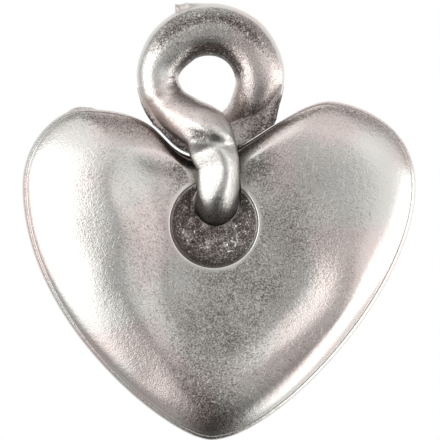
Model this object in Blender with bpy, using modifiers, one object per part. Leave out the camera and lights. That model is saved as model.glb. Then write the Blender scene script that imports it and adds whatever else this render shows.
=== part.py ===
"""Heart pendant: a puffy cast-metal heart that swings on a twisted figure-eight bail.

The bail's round eye faces the front, and its smaller loop, turned a quarter turn, closes round the
bridge of metal between the heart's cleft and the bowl in its face.
World axes: +X right, -Y front, +Z up, origin at the middle of the bail's eye. Sizes are in metres.
"""

import math

import bmesh
import bpy
from mathutils import Matrix, Vector
from mathutils.geometry import interpolate_bezier

MM = 0.001

# Eye of the bail: its outer edge, and the wire's radius round it
EYE_OUTER_R = 5.70 * MM
WIRE_R_TOP = 2.00 * MM
WIRE_R_RIGHT = 1.92 * MM
WIRE_R_UPPER_LEFT = 1.92 * MM
WIRE_R_LEFT = 1.62 * MM

# Front leg, from the eye's middle: (right, back, up) of each bend, and the wire's radius there
FRONT_SHOULDER = (-3.33 * MM, -0.50 * MM, -1.80 * MM)
FRONT_BEND = (-2.02 * MM, -1.35 * MM, -3.01 * MM)
FRONT_CROSSING = (-0.19 * MM, -2.30 * MM, -4.20 * MM)
FRONT_KINK = (0.20 * MM, -2.42 * MM, -5.15 * MM)
WIRE_R_FRONT_SHOULDER = 1.50 * MM
WIRE_R_FRONT_BEND = 1.66 * MM
WIRE_R_FRONT_CROSSING = 1.88 * MM
WIRE_R_FRONT_KINK = 1.74 * MM

# Back leg
BACK_SHOULDER = (3.26 * MM, 0.50 * MM, -1.80 * MM)
BACK_BEND = (2.50 * MM, 1.25 * MM, -3.07 * MM)
BACK_CROSSING = (1.30 * MM, 2.10 * MM, -4.48 * MM)
WIRE_R_BACK_SHOULDER = 1.66 * MM
WIRE_R_BACK_BEND = 1.46 * MM
WIRE_R_BACK_CROSSING = 1.54 * MM

# Lower loop: the wire at its lowest point, and at the waist of each leg beside the bridge
WIRE_R_LOOP = 1.66 * MM
WIRE_R_WAIST = 1.58 * MM

# Hinge: the bridge's middle, the bridge's thinnest radius and the running gap round the loop
HINGE_DROP = 7.04 * MM
HINGE_OFFSET = 0.40 * MM
LOOP_SKEW = math.radians(5)
BRIDGE_R = 0.85 * MM
LINK_GAP = 0.15 * MM

# Web that fills the corner under the crossing. Its sides run on along the eye's outer edge: from
# where they leave the wire to where they turn down, with the right one reaching out to a foot.
WEB_THICK = 0.90 * MM
WEB_GAP = 0.25 * MM
WEB_INSET = 0.03 * MM
WEB_LEFT_ARC = (math.radians(188), math.radians(218))
WEB_RIGHT_ARC = (math.radians(-21), math.radians(-6))
WEB_RIGHT_FOOT = (5.08 * MM, -3.45 * MM)

# Stubs left by the casting gates, on the eye and on the left lobe: length, width, height
EYE_STUB = (1.60 * MM, 1.10 * MM, 0.30 * MM)
EYE_STUB_ANGLE = math.radians(111)
LOBE_STUB = (2.00 * MM, 0.90 * MM, 0.14 * MM)
LOBE_STUB_LEAN = math.radians(-6)

# Heart: its width, and its height from the tip to the top of the right lobe
HEART_WIDTH = 30.10 * MM
HEART_HEIGHT = 25.95 * MM

# Heart outline, from the hinge: cleft, top of each lobe, widest points and tip
HEART_LEFT = 14.80 * MM
LOBE_RISE = 5.24 * MM
CLEFT_RISE = 0.84 * MM
CLEFT_OFFSET = -0.50 * MM
LEFT_LOBE = (-10.26 * MM, 4.64 * MM)
RIGHT_LOBE = (8.67 * MM, LOBE_RISE)
LEFT_WIDEST = (-HEART_LEFT, -1.28 * MM)
RIGHT_WIDEST = (HEART_WIDTH - HEART_LEFT, -1.26 * MM)
TIP = (-0.36 * MM, LOBE_RISE - HEART_HEIGHT)

# Lengths of the outline's Bezier handles, going out from the cleft to the tip on each side
LEFT_HANDLES = (4.53 * MM, 7.41 * MM, 1.73 * MM, 3.68 * MM, 10.46 * MM, 3.09 * MM)
RIGHT_HANDLES = (2.26 * MM, 2.66 * MM, 1.27 * MM, 5.25 * MM, 8.08 * MM, 4.96 * MM)

# Heart rim: its half thickness, its rounded edge, and the ledge that the parting line leaves inside it
RIM_HALF = 0.80 * MM
RIM_EDGE_HALF = 0.68 * MM
RIM_EDGE_IN = 0.10 * MM
LEDGE_WIDTH = 0.30 * MM
LEDGE_RUN = 0.03 * MM
LEDGE_HEIGHT = 0.10 * MM
SHORTEST_SPAN = 1.50 * MM

# Relief of the heart's face at stations round the bowl. Each row: degrees clockwise from straight up,
# the crown's share of the way in from the rim, half thickness at the crown, and at the bowl's lip
RELIEF = (
    (0, 0.50, 1.20 * MM, 1.15 * MM),
    (17, 0.50, 1.42 * MM, 1.28 * MM),
    (32, 0.50, 2.20 * MM, 1.60 * MM),
    (48, 0.45, 2.60 * MM, 1.90 * MM),
    (75, 0.55, 2.50 * MM, 2.10 * MM),
    (105, 0.58, 2.65 * MM, 2.25 * MM),
    (135, 0.55, 2.95 * MM, 2.40 * MM),
    (180, 0.47, 3.10 * MM, 2.50 * MM),
    (225, 0.47, 3.00 * MM, 2.40 * MM),
    (255, 0.56, 3.10 * MM, 2.45 * MM),
    (285, 0.54, 3.45 * MM, 2.65 * MM),
    (310, 0.48, 3.10 * MM, 2.55 * MM),
    (330, 0.50, 1.90 * MM, 1.75 * MM),
    (345, 0.50, 1.30 * MM, 1.25 * MM),
)

# Bowl sunk in each face below the bridge. Its wall follows a power of the share of the way out
BOWL_DROP = 4.13 * MM
BOWL_OFFSET = -0.13 * MM
BOWL_R = 3.35 * MM
FLOOR_HALF = 1.10 * MM
BOWL_WALL_POWER = 4
BOWL_RING_SHARES = (0.94, 0.82, 0.64, 0.40)

HINGE = Vector((HINGE_OFFSET, 0, -HINGE_DROP))
LOOP_R = BRIDGE_R + LINK_GAP + WIRE_R_LOOP
LOOP_FRONT = Vector((math.sin(LOOP_SKEW), -math.cos(LOOP_SKEW), 0))

WELD = 0.001 * MM
HANDLE_SHARE = 0.35
RAYS_PER_SPAN = 16
WEB_SIDE_STEPS = 5
OUTER_STEPS = 5
INNER_STEPS = 5


def clear_scene():
    """Remove the objects that the scene starts with."""
    for obj in list(bpy.data.objects):
        bpy.data.objects.remove(obj, do_unlink=True)


def make_collection(name, wire=False):
    """A collection in the scene; one of cutters is left out of the render."""
    collection = bpy.data.collections.new(name)
    bpy.context.scene.collection.children.link(collection)
    collection.hide_render = wire
    return collection


def make_metal(name, colour, roughness):
    """A metallic material with one colour and one roughness."""
    material = bpy.data.materials.new(name)
    material.use_nodes = True
    shader = material.node_tree.nodes["Principled BSDF"]
    shader.inputs["Base Color"].default_value = (*colour, 1)
    shader.inputs["Metallic"].default_value = 1
    shader.inputs["Roughness"].default_value = roughness
    material.diffuse_color = (*colour, 1)
    return material


def add_object(name, data, collection):
    """A new object for this data, in this collection."""
    obj = bpy.data.objects.new(name, data)
    collection.objects.link(obj)
    return obj


def add_cutter(name, data, collection):
    """A helper for a Boolean: drawn as wire and never rendered."""
    cutter = add_object(name, data, collection)
    cutter.display_type = "WIRE"
    cutter.hide_render = True
    return cutter


def curve_to_mesh(obj):
    """Turn a curve object into a mesh object of the same name and place, with its caps welded on."""
    graph = bpy.context.evaluated_depsgraph_get()
    mesh = bpy.data.meshes.new_from_object(obj.evaluated_get(graph))
    work = bmesh.new()
    work.from_mesh(mesh)
    bmesh.ops.remove_doubles(work, verts=work.verts, dist=WELD)
    work.to_mesh(mesh)
    work.free()
    name = obj.name
    place = obj.matrix_world.copy()
    collection = obj.users_collection[0]
    cutter = obj.hide_render
    bpy.data.objects.remove(obj, do_unlink=True)
    solid = add_cutter(name, mesh, collection) if cutter else add_object(name, mesh, collection)
    solid.matrix_world = place
    return solid


def add_boolean(obj, operation, other):
    """Join or cut this object with the other, exactly."""
    modifier = obj.modifiers.new(f"{operation.lower()} {other.name}", "BOOLEAN")
    modifier.operation = operation
    modifier.solver = "EXACT"
    modifier.object = other


def shade_smooth(obj, angle):
    """Smooth shading, with an edge kept sharp where its faces meet at more than this angle."""
    for polygon in obj.data.polygons:
        polygon.use_smooth = True
    obj.data.set_sharp_from_angle(angle=angle)


def on_eye(angle, reach):
    """A point at this angle and distance from the eye's middle, in the eye's plane."""
    return Vector((reach * math.cos(angle), 0, reach * math.sin(angle)))


def eye_point(angle, wire_r):
    """Middle of the wire where the eye's outer edge is at this angle."""
    return on_eye(angle, EYE_OUTER_R - wire_r)


def bail_knots():
    """The wire's path, once round: (middle of the wire, wire radius), from the loop's lowest point.

    It climbs at the back, goes round the eye anticlockwise as seen from the front, and comes down
    in front of itself.
    """
    return [
        (HINGE + Vector((0, 0, -LOOP_R)), WIRE_R_LOOP),
        (HINGE - LOOP_FRONT * LOOP_R, WIRE_R_WAIST),
        (Vector(BACK_CROSSING), WIRE_R_BACK_CROSSING),
        (Vector(BACK_BEND), WIRE_R_BACK_BEND),
        (Vector(BACK_SHOULDER), WIRE_R_BACK_SHOULDER),
        (eye_point(math.radians(5), WIRE_R_RIGHT), WIRE_R_RIGHT),
        (eye_point(math.radians(48), WIRE_R_TOP), WIRE_R_TOP),
        (eye_point(math.radians(91), WIRE_R_TOP), WIRE_R_TOP),
        (eye_point(math.radians(134), WIRE_R_UPPER_LEFT), WIRE_R_UPPER_LEFT),
        (eye_point(math.radians(177), WIRE_R_LEFT), WIRE_R_LEFT),
        (Vector(FRONT_SHOULDER), WIRE_R_FRONT_SHOULDER),
        (Vector(FRONT_BEND), WIRE_R_FRONT_BEND),
        (Vector(FRONT_CROSSING), WIRE_R_FRONT_CROSSING),
        (Vector(FRONT_KINK), WIRE_R_FRONT_KINK),
        (HINGE + LOOP_FRONT * LOOP_R, WIRE_R_WAIST),
    ]


def knot_direction(knots, index):
    """Which way the wire runs at a knot: exact on the loop, and from neighbour to neighbour elsewhere."""
    if index == 0:
        return -LOOP_FRONT
    if index == 1:
        return Vector((0, 0, 1))
    if index == len(knots) - 1:
        return Vector((0, 0, -1))
    return (knots[index + 1][0] - knots[index - 1][0]).normalized()


def make_bail_wire(collection):
    """The closed wire: a Bezier curve with a round bevel, whose lower loop is a half circle."""
    knots = bail_knots()
    curve = bpy.data.curves.new("bail", "CURVE")
    curve.dimensions = "3D"
    curve.bevel_depth = 1
    curve.bevel_resolution = 6
    curve.resolution_u = 10
    spline = curve.splines.new("BEZIER")
    spline.bezier_points.add(len(knots) - 1)
    spline.use_cyclic_u = True
    spline.radius_interpolation = "EASE"
    arc_handle = LOOP_R * math.tan(math.pi / 8) * 4 / 3
    for index, (middle, radius) in enumerate(knots):
        before = (middle - knots[index - 1][0]).length * HANDLE_SHARE
        after = (knots[(index + 1) % len(knots)][0] - middle).length * HANDLE_SHARE
        if index in (0, 1):
            before = arc_handle
        if index in (0, len(knots) - 1):
            after = arc_handle
        direction = knot_direction(knots, index)
        point = spline.bezier_points[index]
        point.handle_left_type = "FREE"
        point.handle_right_type = "FREE"
        point.co = middle
        point.handle_left = middle - direction * before
        point.handle_right = middle + direction * after
        point.radius = radius
    return curve_to_mesh(add_object("bail", curve, collection))


def standing_outline(name, points, thick, collection, grow=0.0):
    """A flat shape in the XZ plane: this closed outline, grown by a distance and this thick in Y."""
    curve = bpy.data.curves.new(name, "CURVE")
    curve.dimensions = "2D"
    curve.fill_mode = "BOTH"
    curve.extrude = thick / 2
    curve.offset = grow
    spline = curve.splines.new("POLY")
    spline.points.add(len(points) - 1)
    spline.use_cyclic_u = True
    for point, (x, z) in zip(spline.points, points):
        point.co = (x, z, 0, 1)
    obj = add_cutter(name, curve, collection)
    obj.rotation_euler = (math.radians(90), 0, 0)
    bpy.context.view_layer.update()
    return curve_to_mesh(obj)


def web_side(arc):
    """Points (x, z) of one side of the web, just inside the eye's outer edge, in the arc's order."""
    angles = [arc[0] + (arc[1] - arc[0]) * step / WEB_SIDE_STEPS for step in range(WEB_SIDE_STEPS + 1)]
    points = [on_eye(angle, EYE_OUTER_R - WEB_INSET) for angle in angles]
    return [(point.x, point.z) for point in points]


def make_web(cutters):
    """The thin plate under the crossing, cut to the heart's top edge with a gap."""
    low = -HINGE_DROP + BRIDGE_R
    left = web_side(WEB_LEFT_ARC)
    right = web_side(WEB_RIGHT_ARC)
    inside = [BACK_SHOULDER, BACK_BEND, FRONT_CROSSING, FRONT_SHOULDER]
    points = [(left[-1][0], low), (WEB_RIGHT_FOOT[0], low), WEB_RIGHT_FOOT]
    points += right + [(bend[0], bend[2]) for bend in inside] + left
    web = standing_outline("web", points, WEB_THICK, cutters)
    top_edge = standing_outline("top_edge", heart_outline(), 2 * WEB_THICK, cutters, WEB_GAP)
    add_boolean(web, "DIFFERENCE", top_edge)
    return web


def make_stub(name, size, angle, foot, cutters):
    """The rough end of a casting gate: a block that stands on an edge at its foot, facing this angle."""
    bpy.ops.mesh.primitive_cube_add(size=1)
    stub = bpy.context.object
    stub.name = name
    stub.scale = (size[0], size[1], 2 * size[2])
    stub.rotation_euler = (0, math.pi / 2 - angle, 0)
    stub.location = foot
    return into_cutters(stub, cutters)


def into_cutters(obj, cutters):
    """Move a primitive to the cutters, drawn as wire and never rendered."""
    obj.display_type = "WIRE"
    obj.hide_render = True
    for collection in list(obj.users_collection):
        collection.objects.unlink(obj)
    cutters.objects.link(obj)
    return obj


def make_bail(parts, cutters, material):
    """The bail: wire, web and gate stub in one casting."""
    bail = make_bail_wire(parts)
    bail.data.materials.clear()
    bail.data.materials.append(material)
    add_boolean(bail, "UNION", make_web(cutters))
    foot = on_eye(EYE_STUB_ANGLE, EYE_OUTER_R)
    add_boolean(bail, "UNION", make_stub("eye_stub", EYE_STUB, EYE_STUB_ANGLE, foot, cutters))
    shade_smooth(bail, math.radians(40))
    return bail


def heart_outline():
    """The heart seen from the front: (x, z) points, clockwise from the cleft, as four Bezier spans."""
    cleft = Vector((HINGE_OFFSET + CLEFT_OFFSET, -HINGE_DROP + CLEFT_RISE))
    tip = from_hinge(TIP)
    right = lobe_spans(cleft, from_hinge(RIGHT_LOBE), from_hinge(RIGHT_WIDEST), tip, RIGHT_HANDLES, 1)
    left = lobe_spans(cleft, from_hinge(LEFT_LOBE), from_hinge(LEFT_WIDEST), tip, LEFT_HANDLES, -1)
    return right + left[:0:-1]


def from_hinge(offset):
    """A point of the heart's plane, given from the hinge."""
    return Vector((HINGE_OFFSET + offset[0], -HINGE_DROP + offset[1]))


def lobe_spans(cleft, lobe, widest, tip, handles, side):
    """One side of the outline from the cleft to just before the tip."""
    across = Vector((side, 0))
    up = Vector((0, 1))
    ends = [
        (cleft, cleft + across * handles[0], lobe - across * handles[1], lobe),
        (lobe, lobe + across * handles[2], widest + up * handles[3], widest),
        (widest, widest - up * handles[4], tip + across * handles[5], tip),
    ]
    points = []
    for span in ends:
        points += [tuple(point) for point in interpolate_bezier(*span, RAYS_PER_SPAN + 1)[:-1]]
    return points + ([tuple(tip)] if side > 0 else [])


def relief_at(angle):
    """The crown's share, its half thickness and the lip's at this angle clockwise from straight up."""
    degrees = math.degrees(angle) % 360
    rows = RELIEF + ((360, *RELIEF[0][1:]),)
    for low, high in zip(rows, rows[1:]):
        if low[0] <= degrees <= high[0]:
            way = (degrees - low[0]) / (high[0] - low[0])
            ease = way * way * (3 - 2 * way)
            return [a + (b - a) * ease for a, b in zip(low[1:], high[1:])]


def section(span, crown_share, crown, lip):
    """One ray's section: (distance in from the rim, half thickness) for each ring, out to the lip."""
    fit = min(span / SHORTEST_SPAN, 1)
    ledge = LEDGE_WIDTH * fit
    foot = ledge + LEDGE_RUN
    low = RIM_HALF + LEDGE_HEIGHT
    rings = [(0, 0), (0, RIM_EDGE_HALF), (RIM_EDGE_IN * fit, RIM_HALF), (ledge, RIM_HALF), (foot, low)]
    crown_in = foot + (span - foot) * crown_share
    for step in range(1, OUTER_STEPS + 1):
        way = step / OUTER_STEPS
        rings.append((foot + (crown_in - foot) * way, low + (crown - low) * way * (2 - way)))
    for step in range(1, INNER_STEPS + 1):
        way = step / INNER_STEPS
        rings.append((crown_in + (span - crown_in) * way, crown - (crown - lip) * way * way * (3 - 2 * way)))
    return rings


def bowl_rings(span, lip):
    """The same for the bowl's wall: its depth follows a power of the share of the way out."""
    rings = []
    for share in BOWL_RING_SHARES:
        half = FLOOR_HALF + (lip - FLOOR_HALF) * share**BOWL_WALL_POWER
        rings.append((span + BOWL_R * (1 - share), half))
    return rings


def make_heart_blank(parts):
    """The heart's front half: sections along rays from the outline to the bowl, open at the mid-plane."""
    bowl = Vector((HINGE_OFFSET + BOWL_OFFSET, -HINGE_DROP - BOWL_DROP))
    work = bmesh.new()
    rays = []
    for x, z in heart_outline():
        reach = Vector((x, z)) - bowl
        span = reach.length - BOWL_R
        crown_share, crown, lip = relief_at(math.atan2(reach.x, reach.y))
        out = reach.normalized()
        ray = []
        for inward, half in section(span, crown_share, crown, lip) + bowl_rings(span, lip):
            spot = bowl + out * (BOWL_R + span - inward)
            ray.append(work.verts.new((spot.x, -half, spot.y)))
        rays.append(ray)
    for index, ray in enumerate(rays):
        after = rays[(index + 1) % len(rays)]
        for inner in range(len(ray) - 1):
            work.faces.new((ray[inner], ray[inner + 1], after[inner + 1], after[inner]))
    work.faces.new([ray[-1] for ray in rays])
    bmesh.ops.recalc_face_normals(work, faces=work.faces)
    mesh = bpy.data.meshes.new("heart")
    work.to_mesh(mesh)
    work.free()
    return add_object("heart", mesh, parts)


def make_passage(cutters):
    """The ring-shaped way that the bail's loop runs in: the loop's own circle, with its gap."""
    bpy.ops.mesh.primitive_torus_add(
        major_radius=LOOP_R,
        minor_radius=WIRE_R_LOOP + LINK_GAP,
        major_segments=48,
        minor_segments=24,
    )
    passage = bpy.context.object
    passage.name = "passage"
    turn = Matrix.Rotation(LOOP_SKEW, 4, "Z") @ Matrix.Rotation(math.radians(90), 4, "Y")
    passage.matrix_world = Matrix.Translation(HINGE) @ turn
    return into_cutters(passage, cutters)


def make_heart(parts, cutters, material):
    """The heart: the lofted half, mirrored to the back, with the loop's passage cut through it."""
    heart = make_heart_blank(parts)
    heart.data.materials.append(material)
    mirror = heart.modifiers.new("back half", "MIRROR")
    mirror.use_axis = (False, True, False)
    mirror.merge_threshold = WELD
    add_boolean(heart, "DIFFERENCE", make_passage(cutters))
    lobe = from_hinge(LEFT_LOBE)
    foot = Vector((lobe.x, 0, lobe.y))
    angle = math.pi / 2 - LOBE_STUB_LEAN
    add_boolean(heart, "UNION", make_stub("lobe_stub", LOBE_STUB, angle, foot, cutters))
    shade_smooth(heart, math.radians(35))
    heart.data.transform(Matrix.Translation(-HINGE))
    heart.location = HINGE
    return heart


def main():
    clear_scene()
    parts = make_collection("heart_pendant")
    cutters = make_collection("cutters", wire=True)
    pewter = (0.56, 0.55, 0.54)
    make_bail(parts, cutters, make_metal("bail_pewter", pewter, 0.28))
    make_heart(parts, cutters, make_metal("heart_pewter", pewter, 0.36))


main()
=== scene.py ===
"""Heart pendant on a twisted bail: the finished castings, their antiqued pewter and a small photo stage.

The packed solids give the frame. Each casting is a surface worked out from the same sizes as its
solid, and rides on the same body. World axes: +X right, -Y front, +Z up, origin in the middle of the
bail's eye. Sizes are in metres.
"""

import math

import bpy
import numpy as np
from bpy.props import FloatProperty, FloatVectorProperty, PointerProperty, StringProperty
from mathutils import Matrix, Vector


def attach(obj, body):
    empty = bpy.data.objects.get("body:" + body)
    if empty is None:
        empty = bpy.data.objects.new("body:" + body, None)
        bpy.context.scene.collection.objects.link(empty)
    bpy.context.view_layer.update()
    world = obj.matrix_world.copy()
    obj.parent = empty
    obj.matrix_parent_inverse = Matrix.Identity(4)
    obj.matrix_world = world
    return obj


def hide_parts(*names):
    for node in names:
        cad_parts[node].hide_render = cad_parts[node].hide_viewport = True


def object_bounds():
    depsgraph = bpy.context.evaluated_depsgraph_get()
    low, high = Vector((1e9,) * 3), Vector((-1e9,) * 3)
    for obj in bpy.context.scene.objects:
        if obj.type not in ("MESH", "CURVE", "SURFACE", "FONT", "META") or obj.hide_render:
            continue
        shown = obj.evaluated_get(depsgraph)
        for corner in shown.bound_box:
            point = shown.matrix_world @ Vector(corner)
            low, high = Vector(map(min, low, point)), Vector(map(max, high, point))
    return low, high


bl_info = {
    "name": "Heart pendant on a twisted bail",
    "version": (1, 0, 0),
    "blender": (4, 5, 0),
    "location": "3D View > Sidebar > Pendant",
    "description": "Builds the cast heart, its bail and a small photo stage on the packed frame",
    "category": "Object",
}

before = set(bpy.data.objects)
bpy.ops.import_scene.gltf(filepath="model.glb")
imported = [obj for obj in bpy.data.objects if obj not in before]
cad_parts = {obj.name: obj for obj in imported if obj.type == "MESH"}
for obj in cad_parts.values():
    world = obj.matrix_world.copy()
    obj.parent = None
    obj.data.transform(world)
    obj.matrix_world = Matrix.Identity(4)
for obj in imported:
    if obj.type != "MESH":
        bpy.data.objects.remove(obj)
CAD_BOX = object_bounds()

MM = 0.001

# Hinge of the heart on the bail. The bail's lower loop is turned a little from square: its ways across
# and ahead
HINGE = np.array((0.40, 0.0, -7.04)) * MM
LOOP_SKEW = math.radians(5)
ACROSS = np.array((math.cos(LOOP_SKEW), math.sin(LOOP_SKEW), 0.0))
AHEAD = np.array((math.sin(LOOP_SKEW), -math.cos(LOOP_SKEW), 0.0))

# Heart outline, from the hinge: cleft, top of each lobe, widest points and tip, then the lengths of
# the Bezier handles going out from the cleft to the tip on each side
CLEFT = np.array((-0.50, 0.84)) * MM
LEFT_LOBE = np.array((-10.26, 4.64)) * MM
RIGHT_LOBE = np.array((8.67, 5.24)) * MM
LEFT_WIDEST = np.array((-14.80, -1.28)) * MM
RIGHT_WIDEST = np.array((15.30, -1.26)) * MM
TIP = np.array((-0.36, -20.71)) * MM
LEFT_HANDLES = np.array((4.53, 7.41, 1.73, 3.68, 10.46, 3.09)) * MM
RIGHT_HANDLES = np.array((2.26, 2.66, 1.27, 5.25, 8.08, 4.96)) * MM

RIM_STEPS = 400

# Middle of the bowl sunk in each face, seen from the front
BOWL = HINGE[[0, 2]] + np.array((-0.13, -4.13)) * MM

# Raised places on the bowl's floor, in mm: right and up of the mound's middle, its reach each way and its
# height; and right and lower end of the upright ridge, its half width, its run-out and its height
MOUND = (-0.10, -12.65, 0.34, 0.30, 0.22)
RIDGE = (-1.28, -13.00, 0.16, 0.80, 0.16)

# Relief of the heart's face at stations round the bowl. Each row: degrees clockwise from straight up,
# the crown's share of the way in from the rim, the share where the dished middle begins, the outer
# slope's fullness, the share of its rise that rolls up close to the rim, and the half thickness at the
# crown, where the middle begins, and at the bowl's lip. The stations are blended over RELIEF_BLUR degrees
RELIEF = (
    (0, 0.50, 1.00, 1.9, 0.3, 1.20, 1.15, 1.15),
    (17, 0.50, 1.00, 1.7, 0.5, 1.42, 1.30, 1.30),
    (32, 0.48, 1.00, 1.8, 0.5, 2.10, 1.70, 1.70),
    (48, 0.44, 0.98, 2.4, 0.1, 2.50, 1.98, 1.93),
    (75, 0.42, 0.92, 2.1, 0.1, 2.55, 2.20, 2.15),
    (95, 0.38, 0.80, 2.2, 0.1, 2.72, 2.26, 2.18),
    (110, 0.22, 0.62, 2.0, 0.2, 3.00, 2.24, 2.24),
    (125, 0.16, 0.53, 2.2, 0.2, 3.08, 2.18, 2.26),
    (142, 0.25, 0.50, 2.4, 0.3, 2.97, 2.18, 2.26),
    (160, 0.28, 0.49, 2.4, 0.3, 2.74, 2.25, 2.38),
    (180, 0.24, 0.50, 2.0, 0.4, 2.50, 2.30, 2.45),
    (200, 0.36, 0.62, 1.15, 0.4, 2.66, 2.42, 2.45),
    (217, 0.42, 0.72, 1.2, 0.3, 2.96, 2.42, 2.42),
    (231, 0.46, 0.86, 1.4, 0.2, 3.12, 2.40, 2.42),
    (243, 0.52, 0.98, 1.7, 0.15, 3.26, 2.45, 2.45),
    (259, 0.64, 1.00, 1.65, 0.1, 3.45, 2.45, 2.45),
    (278, 0.62, 0.98, 1.4, 0.1, 3.58, 2.50, 2.50),
    (291, 0.54, 0.86, 1.4, 0.1, 3.38, 2.30, 2.30),
    (310, 0.45, 0.80, 1.5, 0.1, 2.92, 2.02, 2.02),
    (330, 0.50, 1.00, 1.7, 0.25, 1.74, 1.68, 1.68),
    (345, 0.50, 1.00, 1.9, 0.3, 1.30, 1.25, 1.25),
)
RELIEF_BLUR = 7

# Flat faces of the front leg. Each row: degrees to the right from facing the front,
# half width, and the heights between which it runs
FLATS = (
    (-50, 0.34, -0.9, -3.9),
    (2, 0.20, -1.2, -3.7),
    (40, 0.36, -0.6, -3.9),
    (-29, 0.92, -4.7, -8.9),
    (48, 0.42, -4.9, -9.3),
)

# Where patina stays, and where painted shade darkens the metal, seen from the front. Each row: its
# share, then right and up of its middle and its reach each way, in mm
DISH_PATINA = (
    (1.00, 1.90, -16.60, 5.20, 4.60),
    (1.00, -0.40, -22.40, 2.60, 4.50),
    (1.00, 5.30, -11.30, 3.00, 4.00),
    (0.20, -7.20, -14.60, 2.40, 4.60),
)
# Patina and painted shade: the face beside the bail's leg and web, where the bail shades it
BRIDGE_PATINA_AND_SHADE = ((1.00, -2.20, -6.84, 1.60, 2.60), (1.00, 3.40, -6.64, 1.60, 1.60))
# Painted shade: the heart's tip is darkened
TIP_SHADE = ((1.00, 0.80, -26.20, 4.20, 2.00),)
# Patina and painted shade behind the front leg, where the legs cross
CROSSING_PATINA_AND_SHADE = ((0.70, 3.40, -2.40, 1.60, 1.70),)
LEG_PATINA = ((0.80, -0.77, -4.50, 1.00, 0.45), (0.35, -2.30, -1.60, 0.70, 0.90))
STUB_PATINA = ((0.80, -2.95, 5.15, 0.45, 0.45),)

# Wire of the bail's legs and eye. Each leg's row: right, back and up of its middle and its radius, in mm,
# and the direction that its outer side faces. Each row of the eye: degrees round it, and the radius
BACK_LEG = (
    (1.30, 2.10, -4.48, 1.54, (0.35, 0.94, 0)),
    (2.50, 1.25, -3.07, 1.46, (0.75, 0.60, -0.30)),
    (3.26, 0.50, -1.80, 1.66, (0.92, 0.20, -0.35)),
)
EYE = ((5, 1.92), (48, 2.00), (91, 2.00), (134, 1.92), (177, 1.62))
FRONT_LEG = (
    (-3.33, -0.50, -1.80, 1.50, (-0.92, -0.20, -0.35)),
    (-2.02, -1.35, -3.01, 1.66, (-0.75, -0.60, -0.30)),
    (-0.19, -2.30, -4.20, 1.88, (-0.35, -0.94, 0)),
    (0.05, -2.50, -5.15, 1.86, (-0.20, -0.97, 0)),
)
PATH_STEPS = 460

# Bend of the front leg below the crossing: right and up of its middle in mm, and how its line leans
SADDLE = (-0.20, -4.70)
SADDLE_LEAN = math.radians(-18)

# Rough end of a casting gate on the eye: its right and left end in degrees, anticlockwise from the right
EYE_STUB_ENDS = (92, 119)

# Web under the crossing, in mm: the lowest point at its right end, and its corners inside the wire
WEB_FOOT = (5.03, -3.26)
WEB_INNER = ((3.26, -1.80), (2.50, -3.07), (-0.19, -4.20), (-3.33, -1.80))

# Softboxes: name, place and size in metres
SOFTBOXES = (
    ("left softbox", (-0.226, -0.110, -0.034), (0.27, 0.31)),
    ("right softbox", (0.232, 0.020, -0.115), (0.30, 0.34)),
)

# Light of the studio's walls round the plain level. Each row: the direction it comes from, the cosines
# from there at which it begins and is full, and how much it adds
STUDIO_LEVEL = 0.47
STUDIO_LIGHTS = (
    ((0.0, 0.95, 0.31), 0.20, 0.70, 0.85),
    ((0.0, -0.60, 0.80), 0.70, 0.93, 0.50),
    ((0.0, -0.99, -0.10), 0.84, 0.99, 0.26),
    ((0.74, -0.64, 0.20), 0.70, 0.97, 0.90),
    ((0.45, -0.65, 0.61), 0.84, 0.97, 0.12),
    ((-0.61, -0.51, 0.61), 0.72, 0.96, 0.75),
    ((0.0, -0.39, -0.91), 0.80, 0.95, -0.32),
)


def smooth(x):
    """0 below 0, 1 above 1, and 3x^2 - 2x^3 between."""
    x = np.clip(x, 0, 1)
    return x * x * (3 - 2 * x)


def bell(x):
    """1 at 0, and falling to both sides as e^(-x^2)."""
    return np.exp(-(x**2))


def unit(vectors):
    """Each vector over its own length."""
    return vectors / np.linalg.norm(vectors, axis=-1, keepdims=True)


def bezier_span(ends, count):
    """Points on one cubic Bezier span: its four points times (1-t)^3, 3t(1-t)^2, 3t^2(1-t) and t^3."""
    t = np.linspace(0, 1, count, endpoint=False)[:, None]
    a, b, c, d = (np.asarray(end, float) for end in ends)
    return (1 - t) ** 3 * a + 3 * t * (1 - t) ** 2 * b + 3 * t * t * (1 - t) * c + t**3 * d


def even_steps(points, count):
    """A closed line's points moved to equal steps of its length."""
    closed = np.vstack((points, points[:1]))
    walked = np.concatenate(((0,), np.cumsum(np.linalg.norm(np.diff(closed, axis=0), axis=1))))
    at = np.linspace(0, walked[-1], count, endpoint=False)
    return np.column_stack([np.interp(at, walked, column) for column in closed.T])


def soften(values, width):
    """Values at equal steps round a closed line, each averaged with its neighbours by a bell curve that
    is this many steps wide."""
    count = len(values)
    away = np.minimum(np.arange(count), count - np.arange(count))
    share = np.exp(-((away / width) ** 2) / 2)
    share = np.fft.fft(share / share.sum()).reshape((-1,) + (1,) * (values.ndim - 1))
    return np.fft.ifft(np.fft.fft(values, axis=0) * share, axis=0).real


def round_the_bowl(stations, values, angles, blur):
    """A value that goes smoothly through stations given by angle: straight lines between them, softened
    over this many degrees."""
    fine = np.arange(720) / 2
    straight = np.interp(fine, np.r_[stations - 360, stations, stations + 360], np.tile(values, 3))
    soft = soften(straight, 2 * blur)
    return np.interp(np.degrees(angles) % 360, np.r_[fine, 360], np.r_[soft, soft[:1]])


def waves(points, spacing, seed, count=24):
    """Gentle unevenness of about unit size: the sum of plane waves in seeded directions, whose lengths
    lie round this spacing."""
    rng = np.random.default_rng(seed)
    heading = unit(rng.normal(size=(count, points.shape[-1])))
    rate = 2 * math.pi / (spacing * rng.uniform(0.7, 1.6, count))
    phase = rng.uniform(0, 2 * math.pi, count)
    total = np.zeros(points.shape[:-1])
    for direction, k, start in zip(heading, rate, phase):
        total += np.cos(points @ direction * k + start)
    return total / math.sqrt(count / 2)


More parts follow.
